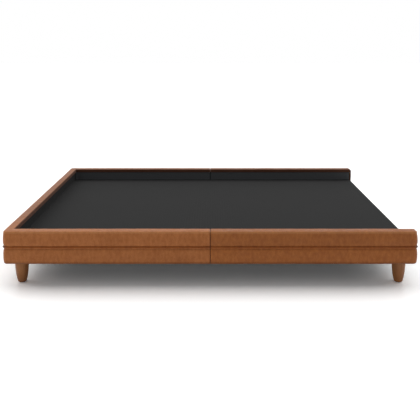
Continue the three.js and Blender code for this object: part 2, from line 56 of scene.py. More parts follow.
# Studio floor: a sheet of white acrylic that the bed stands on. It keeps the bed's shadow and
# shows the faintest mirror image of the legs.
def linear(hex_colour):
    """An sRGB colour such as "#8d5b3a" as linear RGBA."""
    channels = [int(hex_colour[start : start + 2], 16) / 255 for start in (1, 3, 5)]
    return (
        *[c / 12.92 if c <= 0.04045 else ((c + 0.055) / 1.055) ** 2.4 for c in channels],
        1.0,
    )


def feed(tree, node, feeds):
    """Gives a node's inputs, in order or by name, values, outputs, or nodes for their first."""
    if not isinstance(feeds, dict):
        feeds = dict(enumerate(feeds))
    for socket, source in feeds.items():
        if isinstance(source, bpy.types.Node):
            source = source.outputs[0]
        if isinstance(source, bpy.types.NodeSocket):
            tree.links.new(source, node.inputs[socket])
        else:
            node.inputs[socket].default_value = source


def add(tree, kind, feeds=(), **settings):
    """Adds a shader node with its settings and what its inputs are fed."""
    made = tree.nodes.new("ShaderNode" + kind)
    for setting, value in settings.items():
        setattr(made, setting, value)
    feed(tree, made, feeds)
    return made


def new_finish(name, **surface):
    """A material with one Principled surface, whose plain sockets are set here."""
    material = bpy.data.materials.new(name)
    material.use_nodes = True
    shader = material.node_tree.nodes["Principled BSDF"]
    for socket, value in surface.items():
        shader.inputs[socket.replace("_", " ")].default_value = value
    return material, material.node_tree, shader


def background_rays(tree):
    """1 for rays that should meet the white background, 0 for those that light the object."""
    ray = add(tree, "LightPath").outputs
    mirrored = (ray["Is Glossy Ray"], ray["Is Transmission Ray"])
    mirrored = add(tree, "Math", mirrored, operation="MAXIMUM")
    return add(tree, "Math", (ray["Is Camera Ray"], mirrored), operation="MAXIMUM")


def mesh_object(name, points, faces, material, sharp_degrees=40, size=0.001):
    """A shaded mesh from points in millimetres, with edges sharper than the angle kept crisp."""
    mesh = bpy.data.meshes.new(name)
    mesh.from_pydata((np.asarray(points, float) * size).tolist(), [], faces)
    mesh.validate()
    mesh.shade_smooth()
    mesh.set_sharp_from_angle(angle=math.radians(sharp_degrees))
    mesh.materials.append(material)
    made = bpy.data.objects.new(name, mesh)
    scene.collection.objects.link(made)
    return made


acrylic, tree, shader = new_finish(
    "white_acrylic_floor",
    Base_Color=(0.88, 0.88, 0.88, 1.0),
    Roughness=0.28,
    Specular_IOR_Level=0.25,
)
seen = background_rays(tree)
extra = add(tree, "Math", (seen, 0.27), operation="MULTIPLY")
whiter = add(tree, "BsdfDiffuse", {"Color": extra})
lift = add(tree, "Math", (seen, 0.05), operation="MULTIPLY")
glow = add(tree, "Emission", {"Strength": lift})
surface = add(tree, "AddShader", (add(tree, "AddShader", (shader, whiter)), glow))
feed(tree, tree.nodes["Material Output"], {"Surface": surface})
floor_reach = 30000
floor = mesh_object(
    "floor",
    [(x * floor_reach, y * floor_reach, 0) for x, y in ((-1, -1), (1, -1), (1, 1), (-1, 1))],
    [(0, 1, 2, 3)],
    acrylic,
)

# Studio light: a wide softbox overhead, set slightly behind the bed, a softbox high on each
# side, and a fill all round. The front of the bed is lit mostly by the white floor.
softboxes = [
    ("overhead_softbox", 1.15, 56, (-20.0, 0.0)),
    ("left_softbox", 0.95, 44, (-18.0, -48.0)),
    ("right_softbox", 0.85, 44, (-18.0, 48.0)),
]
for name, energy, spread, (tilt_back, tilt_side) in softboxes:
    light = bpy.data.lights.new(name, "SUN")
    light.energy = energy
    light.angle = math.radians(spread)
    softbox = bpy.data.objects.new(name, light)
    softbox.rotation_euler = (math.radians(tilt_back), math.radians(tilt_side), 0.0)
    scene.collection.objects.link(softbox)

world = bpy.data.worlds.new("white_studio")
scene.world = world
world.use_nodes = True
tree = world.node_tree
strength = add(tree, "MapRange", (background_rays(tree), 0.0, 1.0, 0.38, 1.0))
feed(tree, tree.nodes["Background"], {"Color": (1.0, 1.0, 1.0, 1.0), "Strength": strength})
scene.view_settings.view_transform = "Standard"


# Saddle leather: full-grain cowhide, dyed through and finished with a thin satin wax. Up close
# it shows pebbled grain, fine creases and the cloudy shade of the hide.
def object_place(tree, scale=(1.0, 1.0, 1.0)):
    """The place on the object in metres, stretched along the axes by a scale."""
    place = add(tree, "TexCoord").outputs["Object"]
    return add(tree, "Mapping", {"Vector": place, "Scale": scale})


recess_half_width, foot_recess, seam_height = 772.0, 1003.0, 204.0


def painted_light_on_rim(tree, place):
    """Where painted shade and a painted highlight go on the rim, and how much of each."""
    x, y, z = add(tree, "SeparateXYZ", (place,)).outputs
    from_middle = add(tree, "Math", (y,), operation="ABSOLUTE")
    past_side = add(tree, "Math", (from_middle, recess_half_width / 1000), operation="SUBTRACT")
    past_foot = add(tree, "Math", (-foot_recess / 1000, x), operation="SUBTRACT")
    outwards = add(tree, "Math", (past_side, past_foot), operation="MAXIMUM")
    from_joint = add(tree, "Math", (x,), operation="ABSOLUTE")
    from_seam = add(tree, "Math", (z, seam_height / 1000), operation="SUBTRACT")
    from_seam = add(tree, "Math", (from_seam,), operation="ABSOLUTE")
    # Each share is 0 or the highest value at the places given in metres, and fades between.
    crown_end = (z, 0.2825, 0.2865)
    shares = {
        # Painted shade on the tops of the rails, heavier towards the back.
        "painted_shade_on_crown": [(*crown_end, 0.0, 1.0), (y, -0.79, -0.45, 0.22, 0.55)],
        # A painted highlight along the outer shoulder, just below the top.
        "painted_highlight_on_shoulder": [
            (*crown_end, 1.0, 0.0),
            (z, 0.272, 0.279, 0.0, 0.25),
            (outwards, 0.03, 0.045, 0.0, 1.0),
        ],
        # Painted shade along the bottom edge of the lower roll.
        "painted_shade_under_edge": [(z, 0.119, 0.133, 0.5, 0.0)],
        # Painted shade on the leather's inner face, over the deck; the same strip is also made rougher.
        "turned_in_edge": [(outwards, 0.002, 0.0065, 1.0, 0.0)],
        # Painted shade on the ends where the two halves meet.
        "painted_shade_at_joint_ends": [(from_joint, 0.001, 0.003, 1.0, 0.0)],
        # Painted shade on the seam and welt where they turn the ends of the rails.
        "painted_shade_at_seam_corners": [
            (from_seam, 0.004, 0.0055, 1.0, 0.0),
            (from_joint, 1.036, 1.05, 0.0, 0.85),
            (from_middle, 0.785, 0.81, 0.0, 1.0),
        ],
    }
    for name, fades in shares.items():
        share = add(tree, "MapRange", fades[0])
        for fade in fades[1:]:
            fade = add(tree, "MapRange", fade)
            share = add(tree, "Math", (share, fade), operation="MULTIPLY")
        shares[name] = share
    return shares


def leather_finish(name, *shades):
    """Leather whose hide goes from a light to a dark shade, with a third in its creases."""
    light_hide, dark_hide, crease = [linear(shade) for shade in shades]
    material, tree, shader = new_finish(
        name, Roughness=0.5, Specular_IOR_Level=0.22, Sheen_Weight=0.03, Sheen_Roughness=0.5
    )
    place = object_place(tree)
    # Pulled over the foam, the hide creases upright, so the finer clouds are drawn out that way.
    upright = object_place(tree, (1.0, 1.0, 0.5))
    clouds = {}
    for size_mm, detail, roughness, over in (
        (170, 2, 0.55, place),
        (40, 3, 0.55, place),
        (22, 3, 0.5, upright),
        (16, 4, 0.6, upright),
    ):
        cloud = {"Vector": over, "Scale": 1000 / size_mm, "Detail": detail, "Roughness": roughness}
        clouds[size_mm] = add(tree, "TexNoise", cloud)
    # The shade drifts over wide patches of the hide and in a finer mottle; its darkening towards the
    # head end is painted shade.
    hide = add(tree, "MapRange", (clouds[170], 0.34, 0.66, 0.25, 0.75))
    mottle = add(tree, "MapRange", (clouds[16], 0.32, 0.68, -0.2, 1.2))
    along = add(tree, "SeparateXYZ", (place,)).outputs["X"]
    painted_shade_to_head = add(tree, "MapRange", (along, -1.05, 1.05, 0.28, -0.28))
    shade = add(tree, "Math", (add(tree, "Math", (hide, mottle)), painted_shade_to_head))
    shade = add(tree, "MapRange", (shade, 0.3, 1.7))
    colour = add(tree, "Mix", {0: shade, 6: dark_hide, 7: light_hide}, data_type="RGBA").outputs[2]
    # Pebbles of real hide are about 1 mm; these are 2.2 mm so that they show.
    pebbles = {"Vector": place, "Scale": 1000 / 2.2}
    pebbles = add(tree, "TexVoronoi", pebbles, feature="DISTANCE_TO_EDGE")
    valley = add(tree, "MapRange", (pebbles, 0.0, 0.16, 0.32, 0.0))
    colour = add(tree, "Mix", {0: valley, 6: colour, 7: crease}, data_type="RGBA").outputs[2]
    painted = painted_light_on_rim(tree, place)
    # Colours of the painted shade and the painted highlight on the rim.
    tints = {
        "painted_shade_on_crown": "#3f2412",
        "painted_highlight_on_shoulder": "#d09a66",
        "painted_shade_under_edge": "#3f2412",
        "turned_in_edge": "#4f3021",
        "painted_shade_at_joint_ends": "#5c3013",
        "painted_shade_at_seam_corners": "#2a1509",
    }
    for edge, tint in tints.items():
        mixed = {0: painted[edge], 6: colour, 7: linear(tint)}
        colour = add(tree, "Mix", mixed, data_type="RGBA").outputs[2]
    gloss = add(tree, "MapRange", (clouds[40], 0.3, 0.7, 0.44, 0.58))
    gloss = add(tree, "Math", (painted["turned_in_edge"], 0.35, gloss), operation="MULTIPLY_ADD")
    wrinkles = add(tree, "Bump", {"Height": clouds[22], "Distance": 0.0012, "Strength": 0.5})
    rise = add(tree, "MapRange", (pebbles, 0.0, 0.25))
    risen = {"Height": rise, "Distance": 0.00025, "Strength": 0.6, "Normal": wrinkles}
    grain = add(tree, "Bump", risen)
    feed(tree, shader, {"Base Color": colour, "Roughness": gloss, "Normal": grain})
    return material


saddle_leather = leather_finish("saddle_leather_foot_hide", "#b7713d", "#a05e2d", "#6f3a17")
# The head half's rolls take darker copies of the same leather, the upper roll darker still: painted
# shade.
shaded_upper_hide = leather_finish("saddle_leather_head_upper_hide", "#aa6631", "#925324", "#653411")
shaded_lower_hide = leather_finish("saddle_leather_head_lower_hide", "#b26b33", "#995726", "#653411")

# Padded rolls: each rail is a timber board with foam glued on and leather pulled over it, in an
# upper and a lower roll. The leather is turned in over the board's inner edge and stapled
# under its bottom edge. The foot half's rim is sewn in one run round three sides.
half_length, half_width, joint_face = 1055.0, 832.0, 0.02
corner_radius, head_inner_radius, fold_radius = 25.0, 6.0, 2.0
cavity_end, station_gap = 1043.8, 10.0
joint_steps = [(0.0, 3.5), (0.27, 2.2), (1.03, 1.02), (2.16, 0.27), (3.5, 0.0)]
solid_end = len(joint_steps)


def straight_stations(outer, inner, way_out, count, first=0):
    """Stations from one pair of plan points to another: outer point, its inward direction, inner
    point, its direction into the padding, and how far the skin is rounded in at the joint."""
    outer, inner = np.array(outer, float), np.array(inner, float)
    way_in = -np.array(way_out, float)
    made = []
    for step in range(first, count + 1):
        share = step / count
        at_outer = outer[0] + (outer[1] - outer[0]) * share
        at_inner = inner[0] + (inner[1] - inner[0]) * share
        made.append((at_outer, way_in, at_inner, -way_in, 0.0))
    return made


def turned(centre, radius, angle):
    """A point on a corner, its angle measured from the front face towards the corner's end."""
    way_out = np.array([math.sin(angle), -math.cos(angle)])
    return np.array(centre) + radius * way_out, -way_out


def front_rail_stations(sign):
    """The front rail from the joint to its corner. sign is +1 for the head half."""
    made = []
    for along, rounding in joint_steps:
        x = sign * (joint_face + along)
        plan = [(x, -half_width), (0.0, 1.0), (x, -recess_half_width), (0.0, -1.0)]
        made.append((*np.array(plan), rounding))
    cavity_start = joint_face + joint_steps[-1][0] + 0.2
    outer_end = half_length - corner_radius
    inner_end = outer_end if sign > 0 else foot_recess - fold_radius
    count = round((outer_end - cavity_start) / station_gap)
    made += straight_stations(
        [(sign * cavity_start, -half_width), (sign * outer_end, -half_width)],
        [(sign * cavity_start, -recess_half_width), (sign * inner_end, -recess_half_width)],
        (0.0, -1.0),
        count,
    )
    return made


def mirrored_stations(stations):
    flip = np.array([1.0, -1.0])
    return [
        (outer * flip, way_in * flip, inner * flip, inner_way * flip, rounding)
        for outer, way_in, inner, inner_way, rounding in stations
    ]


def foot_rim_stations():
    """Front, foot and back rail in one run, and the last station that has room for the board."""
    front = front_rail_stations(-1)
    outer_centre = (-half_length + corner_radius, -half_width + corner_radius)
    inner_centre = (-foot_recess + fold_radius, -recess_half_width + fold_radius)
    corner = []
    for step in range(1, 10):
        angle = -math.radians(10 * step)
        outer, way_in = turned(outer_centre, corner_radius, angle)
        inner, inner_in = turned(inner_centre, fold_radius, angle)
        corner.append((outer, way_in, inner, -inner_in, 0.0))
    across = straight_stations(
        [(-half_length, outer_centre[1]), (-half_length, 0.0)],
        [(-foot_recess, inner_centre[1]), (-foot_recess, 0.0)],
        (-1.0, 0.0),
        round(-outer_centre[1] / station_gap),
        first=1,
    )
    front_side = front + corner + across
    stations = front_side + mirrored_stations(front_side[:-1])[::-1]
    return stations, len(stations) - 1 - solid_end


def head_rail_stations():
    """The front rail of the head half, which turns its corner and closes at the inner edge."""
    stations = front_rail_stations(1)
    outer_centre = (half_length - corner_radius, -half_width + corner_radius)
    inner_centre = (half_length - head_inner_radius, -recess_half_width - head_inner_radius)
    corner_steps, end_steps, close_steps, closing_turn = 10, 5, 4, 43
    inner_places = [1035.0, 1040.0, cavity_end, 1044.6, 1045.3, 1046.0, 1046.5, 1047.0, 1047.4]
    inner_places += [1047.8, 1048.1, 1048.4, 1048.6, 1048.8, 1049.0]
    for step in range(1, corner_steps + end_steps + close_steps + 1):
        if step <= corner_steps:
            angle = math.radians(90 * step / corner_steps)
            outer, way_in = turned(outer_centre, corner_radius, angle)
        elif step <= corner_steps + end_steps:
            share = (step - corner_steps) / end_steps
            y = outer_centre[1] + (inner_centre[1] - outer_centre[1]) * share
            outer, way_in = np.array([half_length, y]), np.array([-1.0, 0.0])
        if step <= len(inner_places):
            inner = np.array([inner_places[step - 1], -recess_half_width])
            inner_way = np.array([0.0, -1.0])
        else:
            turn = closing_turn * ((step - len(inner_places)) / close_steps)
            outer, way_in = turned(inner_centre, head_inner_radius, math.radians(90 + turn))
            inner, inner_way = turned(inner_centre, head_inner_radius, math.radians(180 - turn))
        stations.append((outer, way_in, inner, inner_way, 0.0))
    return stations, len(stations) - (corner_steps + end_steps + close_steps) + 2


# Outline of a roll as (side, distance from that side's face, height). The upper roll goes from
# the seam up its face; its top is filled in afterwards, and it ends down the inner face.
rail_top, rail_bottom = 287.0, 115.0
inner_top, lining_top = 274.0, 264.0
top_inset, seam_inset, bottom_inset = 3.0, 5.0, 2.5
outer_padding, inner_padding = 23.7, 5.7
cavity_top, cavity_bottom = 273.3, 120.7
upper_full, upper_high = 235.0, 276.7
lower_low, lower_full, under_wrap = 126.0, 165.0, 38.0
crown_rise, crown_shoulder = 0.8, 12.0
outer_round, inner_round, end_round, bottom_round = 7.5, 6.0, 17.0, 11.0
notch_depth, notch_reach = 3.0, 5.5


def bellied(z, low, full, high, low_inset, high_inset):
    if z < full:
        return low_inset * ((full - z) / (full - low)) ** 2.4
    return high_inset * ((z - full) / (high - full)) ** 2


def seam_lip(seam, way):
    """The outline from the board out to the seam's edge. way is 1 for the upper roll."""
    steps = ((outer_padding, 0.0), (8.6, 0.0), (6.9, 0.5), (5.7, 1.8))
    return [("outer", into, seam + way * up) for into, up in steps]


upper_seam, upper_low = seam_height + 0.8, seam_height + 4.3
upper_face = seam_lip(upper_seam, 1) + [
    ("outer", bellied(z, upper_low, upper_full, upper_high, seam_inset, top_inset), z)
    for z in [*np.linspace(upper_low, upper_full, 8), *np.linspace(upper_full, upper_high, 11)[1:]]
]
upper_inner = [("inner", 0.0, z) for z in (inner_top, 272.0, 270.0, 268.0, 266.0, lining_top)]
top_places = [3.4, 4.4, 6.0, 8.0, 10.5, 14.0, 18.0, 22.5, 28.0, 34.0]
top_places += [40.0, 45.0, 49.5, 52.5, 55.0, 57.0, 58.6, 59.6, 60.0]
top_shares = [(place - top_inset) / (top_places[-1] - top_inset) for place in top_places]
upper_kinds = {
    "cavity": [
        ("inner", inner_padding, lining_top),
        ("inner", inner_padding, cavity_top),
        ("outer", outer_padding, cavity_top),
    ],
    "joint": [("inner", inner_padding, lining_top), ("inner", inner_padding, upper_seam)],
    "head": [("inner", 0.0, upper_seam)],
}

lower_seam, lower_high = seam_height - 0.8, seam_height - 4.3
lower_face = seam_lip(lower_seam, -1)
stitch_height, stitch_pull = seam_height - 11.0, 1.7


def lower_belly(z):
    return bellied(z, lower_low, lower_full, lower_high, bottom_inset, seam_inset)


for above in (6.7, 4.6, 2.8, 1.2, 0.6, 0.0, -0.6, -1.2, -2.8, -6.0):
    z = stitch_height + above
    pull = stitch_pull * math.exp(-((above / 1.3) ** 2))
    lower_face.append(("outer", lower_belly(z) + pull, z))
heights = [183.0, 178.5, 174.0, 169.5, lower_full, 160.0, 155.0, 149.0, 143.0, 137.0, 131.0]
lower_face += [("outer", lower_belly(z), z) for z in [*heights, lower_low]]
for angle in np.linspace(0, math.pi / 2, 7)[1:]:
    into = bottom_inset + bottom_round - bottom_round * math.cos(angle)
    lower_face.append(("outer", into, lower_low - bottom_round * math.sin(angle)))
lower_face += [("outer", into, rail_bottom) for into in (20.0, 29.0, under_wrap)]
lower_kinds = {
    "cavity": [("outer", under_wrap, cavity_bottom), ("outer", outer_padding, cavity_bottom)],
    "joint": [
        ("outer", under_wrap, cavity_bottom),
        ("inner", inner_padding, cavity_bottom),
        ("inner", inner_padding, lower_seam),
    ],
    "head": [("inner", 0.0, rail_bottom), ("inner", 0.0, lower_seam)],
}


def distances_to(path, points):
    """How far plan points lie from an open path."""
    starts, ends = path[:-1], path[1:]
    along = ends - starts
    long = np.maximum((along**2).sum(1), 1e-12)
    nearest = np.full(len(points), 1e9)
    for start in range(0, len(points), 400):
        some = points[start : start + 400]
        share = ((some[:, None] - starts) * along).sum(2) / long
        on_path = starts + np.clip(share, 0, 1)[:, :, None] * along
        nearest[start : start + 400] = np.linalg.norm(some[:, None] - on_path, axis=2).min(1)
    return nearest


def place_on(station, side, distance, room):
    """The plan point at a distance from one face, up to 0.6 of the padding's width."""
    outer, way_in, inner, inner_way, rounding = station
    start, way = (outer, way_in) if side == "outer" else (inner, inner_way)
    share = min(1.0, room / 22.0)
    return start + way * min(distance * share + rounding * (distance < 15), 0.6 * room)


def quarter_round(distance, start, radius, top):
    """Height on a rounded edge that begins at a distance from the face."""
    into = np.clip(distance - start, 0, radius)
    return top - radius + np.sqrt(np.maximum(radius**2 - (radius - into) ** 2, 0))


def padded_roll(name, stations, last_cavity, face, top, inner_side, kinds, closing, hide):
    """A closed roll: rings of points across the rail, joined along it. Rings from solid_end to
    last_cavity leave room for the board; the others are solid padding."""
    points, rings, weights = [], [], []
    outer_path = np.array([station[0] for station in stations])
    inner_path = np.array([station[2] for station in stations])
    for index, station in enumerate(stations):
        room = max(np.linalg.norm(station[0] - station[2]), 0.5)
        shared = []
        for k, (side, distance, z) in enumerate(face):
            rise = max(0.0, (z - upper_full) / (upper_high - upper_full))
            rounder = 3.0 * abs(station[1][0]) * rise**2 * closing
            shared.append((*place_on(station, side, distance + rounder, room), z))
            weights.append(min(1.0, max(0.0, (k - 2) / 5)) if k < len(face) - 3 or top else 0.5)
        if top:
            first = place_on(station, "outer", top_inset, room)
            last = place_on(station, "inner", 0.0, room)
            plan = np.array([first + (last - first) * share for share in top_shares])
            from_outer = distances_to(outer_path, plan)
            from_inner = distances_to(inner_path, plan)
            past_outer = from_outer - (top_inset + outer_round)
            past_round = np.minimum(past_outer, from_inner - inner_round)
            crown = crown_rise * np.clip(past_round / crown_shoulder, 0, 1)
            shoulder = rail_top - crown_rise
            heights = np.minimum(
                quarter_round(from_outer, top_inset, outer_round, shoulder),
                quarter_round(from_inner, 0.0, inner_round, shoulder),
            )
            if closing:
                at_end = quarter_round(half_length - plan[:, 0], 1.0, end_round, shoulder)
                heights = np.minimum(heights, at_end)
            notch = notch_depth * np.clip(1.0 - np.abs(plan[:, 0]) / notch_reach, 0, 1) ** 2
            heights = heights + crown - 0.7 * station[4] - notch
            shared += [(*xy, z) for xy, z in zip(plan, heights)]
            weights += [1.0] * len(plan)
            edge = heights[-1]
            for side, distance, z in inner_side:
                share = (z - lining_top) / (inner_top - lining_top)
                low = lining_top + (min(inner_top, edge - 2.0) - lining_top) * share
                shared.append((*place_on(station, side, distance, room), low))
                weights.append(0.8 * share)
        ring = list(range(len(points), len(points) + len(shared)))
        points += shared
        kinds_here = ["cavity"]
        if index <= solid_end:
            kinds_here = ["joint"] + (["cavity"] if index == solid_end else [])
        far_kind = "head" if closing else "joint"
        if index >= last_cavity:
            kinds_here = (["cavity"] if index == last_cavity else []) + [far_kind]
        extras, spots = {}, {}
        for kind in kinds_here:
            for side, distance, z in kinds[kind]:
                if (side, distance, z) not in spots:
                    spots[side, distance, z] = len(points)
                    points.append((*place_on(station, side, distance, room), z))
                    weights.append(0.0)
            extras[kind] = [spots[spot] for spot in kinds[kind]]
        rings.append((ring, extras))
    faces = []
    for (ring, extras), (next_ring, next_extras) in zip(rings, rings[1:]):
        kind = next(kind for kind in extras if kind in next_extras)
        here, there = ring + extras[kind], next_ring + next_extras[kind]
        for k in range(len(here)):
            j = (k + 1) % len(here)
            faces.append((here[k], here[j], there[j], there[k]))
    for ring, extras in rings:
        if len(extras) == 2:
            solid = next(kind for kind in extras if kind != "cavity")
            around = [ring[-1], *extras[solid], ring[0]]
            back = [ring[-1], *extras["cavity"], ring[0]]
            while len(around) > 1 and len(back) > 1 and around[1] == back[1]:
                around, back = around[1:], back[1:]
            faces.append(tuple(around + back[::-1][1:-1]))
    for ring, extras in (rings[0], rings[-1]):
        kind = next(kind for kind in extras if kind != "cavity")
        faces.append(tuple(ring + extras[kind]))
    return mesh_object(name, points, faces, hide), np.array(weights)


def outward(made):
    """Turns every face of a closed mesh outwards."""
    shape = bmesh.new()
    shape.from_mesh(made.data)
    bmesh.ops.recalc_face_normals(shape, faces=shape.faces)
    shape.to_mesh(made.data)
    shape.free()
    return made


wave_length, pull_length, pucker_length = 150, 34, 15
wave_height, pull_height, pucker_height, sink = 0.32, 0.36, 0.75, 0.25
pucker_start, pucker_fade = 4, 11


def soften(made, weights, seed):
    """Presses the leather's skin in and out as stretched upholstery does: slow waves, puckers
    where it is sewn to the welt, and short pulls."""
    shape = made.data
    moved = []
    for vertex, weight in zip(shape.vertices, weights):
        place = vertex.co * 1000
        if weight <= 0:
            moved.append(vertex.co.copy())
            continue
        slow_z = place.z / 60 + seed
        slow = noise.noise(Vector((place.x / wave_length, place.y / wave_length, slow_z)))
        upright = place.z / 80 + 7 + seed
        pull = noise.noise(Vector((place.x / pull_length, place.y / pull_length, upright)))
        pucker = noise.noise(Vector((place.x / pucker_length, place.y / pucker_length, seed + 3)))
        from_seam = abs(place.z - seam_height) - pucker_start
        reach = math.exp(-max(from_seam, 0) / pucker_fade)
        out = wave_height * slow + pull_height * pull + pucker_height * reach * (pucker - 0.25)
        moved.append(vertex.co + vertex.normal * (out * weight - sink * weight) / 1000)
    for vertex, place in zip(shape.vertices, moved):
        vertex.co = place
    shape.update()


def mirrored_copy(name, made):
    """The same piece on the back rail."""
    shape = made.data
    points = np.array([vertex.co for vertex in shape.vertices]) * 1000 * (1, -1, 1)
    faces = [tuple(reversed(face.vertices)) for face in shape.polygons]
    return mesh_object(name, points, faces, shape.materials[0])


foot_run, head_run = foot_rim_stations(), head_rail_stations()
rolls = [
    ("upper_pad", (upper_face, True, upper_inner, upper_kinds), shaded_upper_hide),
    ("lower_pad", (lower_face, False, [], lower_kinds), shaded_lower_hide),
]
for seed, (roll, outlines, shaded_head_hide) in enumerate(rolls):
    foot_rim, weights = padded_roll(
        f"foot_half_{roll}_leather", *foot_run, *outlines, False, saddle_leather
    )
    soften(outward(foot_rim), weights, 11 + seed)
    head_rail, weights = padded_roll(
        f"front_head_{roll}_leather", *head_run, *outlines, True, shaded_head_hide
    )
    soften(outward(head_rail), weights, 23 + seed)
    back_rail = mirrored_copy(f"back_head_{roll}_leather", head_rail)
    for piece in (foot_rim, head_rail, back_rail):
        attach(piece, "base")
        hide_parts(piece.name.removesuffix("_leather"))

# Welt: a cord sewn into a strip of darker leather, caught between the two rolls. It is the dark
# line along the rails, and stands a little proud along the foot rail and at the head ends.
welt_leather = leather_finish("dark_welt_leather", "#9c551e", "#864518", "#52260a")
welt_radius, welt_flange, flange_half, welt_proud = 4.0, 11.0, 0.5, 1.6


def inset_path(stations, into, last=None):
    """A line in plan at a depth in the padding, and the way out of the padding along it."""
    run = stations[:last]
    path = np.array([outer + way_in * into for outer, way_in, _, _, _ in run])
    return path, -np.array([way_in for _, way_in, _, _, _ in run])


def tube_faces(rings, sides, base=0):
    """Faces between rings of equally many points, numbered from a base one ring after another."""
    faces = []
    for ring in range(rings - 1):
        for k in range(sides):
            a, b = base + ring * sides + k, base + ring * sides + (k + 1) % sides
            faces.append((a, b, b + sides, a + sides))
    return faces


def welt(name, stations, last=None):
    """A cord and its sewn flange along the seam, closed at both ends."""
    path, ways_out = inset_path(stations, welt_radius, last)
    sides = 14
    angles = np.linspace(math.radians(8), math.radians(352), sides)
    outline = [(-welt_radius * math.cos(a), welt_radius * math.sin(a)) for a in angles]
    outline += [(welt_radius - welt_flange, up) for up in (-flange_half, flange_half)]
    points = []
    for spot, way in zip(path, ways_out):
        twist = noise.noise(Vector((spot[0] / 45, spot[1] / 45, 3.0)))
        swell = 1.0 + 0.05 * twist
        proud = welt_proud * abs(way[0])
        for k, (out, up) in enumerate(outline):
            grow = swell if k < sides else 1.0
            at = spot + way * (out * grow + (proud if k < sides else 0.0))
            points.append((*at, seam_height + up * grow + 0.15 * twist))
    count = len(outline)
    faces = tube_faces(len(path), count)
    faces.append(tuple(range(count)))
    faces.append(tuple(range(len(points) - count, len(points))))
    return outward(mesh_object(name, points, faces, welt_leather, sharp_degrees=60))


def round_the_rim(make, ending):
    """One piece round the foot half's rim and one on each head rail, short of its closed end."""
    foot_piece = make(f"foot_half_{ending}", foot_run[0])
    front_piece = make(f"front_head_{ending}", head_run[0], -5)
    return foot_piece, front_piece, mirrored_copy(f"back_head_{ending}", front_piece)


for piece in round_the_rim(welt, "welt_cord"):
    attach(piece, "base")
    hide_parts(piece.name.removesuffix("_cord"))

# Top stitching: one row of bonded nylon thread below the welt, six millimetres a stitch, which
# draws a fine crease along the lower roll.
thread, tree, shader = new_finish("bonded_nylon_thread", Roughness=0.55, Specular_IOR_Level=0.3)
twist = add(tree, "TexNoise", {"Vector": object_place(tree), "Scale": 1000 / 1.5})
twisted = {0: twist, 6: linear("#5d3920"), 7: linear("#7a4d2d")}
feed(tree, shader, {"Base Color": add(tree, "Mix", twisted, data_type="RGBA").outputs[2]})
stitch_pitch, stitch_length, thread_radius = 6.0, 4.4, 0.45
first_stitch, stitch_dip = 4.0, 0.35


def stitching(name, stations, last=None):
    """A row of stitches, each a short thread that dips into the leather at both ends."""
    path, _ = inset_path(stations, lower_belly(stitch_height) + stitch_pull, last)
    steps = np.linalg.norm(np.diff(path, axis=0), axis=1)
    along = np.concatenate([[0.0], np.cumsum(steps)])
    count = int((along[-1] - stitch_pitch) / stitch_pitch)
    stations_along = [(-0.5, 0.3), (-0.38, 1.0), (0.0, 1.15), (0.38, 1.0), (0.5, 0.3)]
    sides = 6
    points, faces = [], []
    for stitch in range(count):
        middle = first_stitch + stitch * stitch_pitch
        for share, thick in stations_along:
            at = middle + share * stitch_length
            x, y, next_x, next_y = [
                np.interp(spot, along, path[:, axis]) for spot in (at, at + 0.5) for axis in (0, 1)
            ]
            way = np.array([next_y - y, x - next_x])
            way = way / max(np.linalg.norm(way), 1e-9)
            dip = -stitch_dip * (1.15 - thick)
            for k in range(sides):
                angle = 2 * math.pi * k / sides
                out = thread_radius * thick * math.cos(angle) + dip
                up = thread_radius * thick * math.sin(angle)
                points.append((x + way[0] * out, y + way[1] * out, stitch_height + up))
        base = stitch * sides * len(stations_along)
        faces += tube_faces(len(stations_along), sides, base)
        faces.append(tuple(base + k for k in range(sides)))
        faces.append(tuple(base + (len(stations_along) - 1) * sides + k for k in range(sides)))
    return outward(mesh_object(name, points, faces, thread, sharp_degrees=80))


for piece in round_the_rim(stitching, "top_stitching"):
    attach(piece, "base")

# Deck cover: a hard-wearing charcoal cloth of textured polyester, plain weave, stretched over
# the foam and both half boxes. It is boxed up the boards on three sides, under the leather's
# edge, and drawn down over the head board.
deck_cloth, tree, shader = new_finish(
    "charcoal_polyester_cloth", Roughness=0.92, Specular_IOR_Level=0.12
)
place = object_place(tree)
# Real threads are 0.7 mm apart; these are 2.4 mm so that the weave shows.
thread_gap = 2.4
yarn = {"Vector": place, "Scale": 1000 / thread_gap / 20, "Distortion": 0.6}
yarn |= {"Detail": 1.0, "Detail Scale": 40.0}
warp_and_weft = [
    add(tree, "TexWave", yarn, wave_type="BANDS", bands_direction=axis).outputs["Fac"]
    for axis in ("X", "Y")
]
weave = add(tree, "Math", warp_and_weft, operation="MULTIPLY")
slubs, patches = [
    add(tree, "TexNoise", {"Vector": place, "Scale": scale, "Detail": 2.0, "Roughness": 0.55})
    for scale in (1000 / 3.0, 1000 / 260)
]
x, y, z = add(tree, "SeparateXYZ", (place,)).outputs
from_middle = add(tree, "Math", (y,), operation="ABSOLUTE")
from_joint = add(tree, "Math", (x,), operation="ABSOLUTE")
# The side walls of the cloth are painted a shade lighter than its floor: painted light on walls that
# stand in shade.
at_side = add(tree, "MapRange", (from_middle, 0.7685, 0.772))
raised = add(tree, "MapRange", (z, 0.2073, 0.2115))
painted_light_on_walls = add(tree, "Math", (raised, at_side), operation="MULTIPLY")
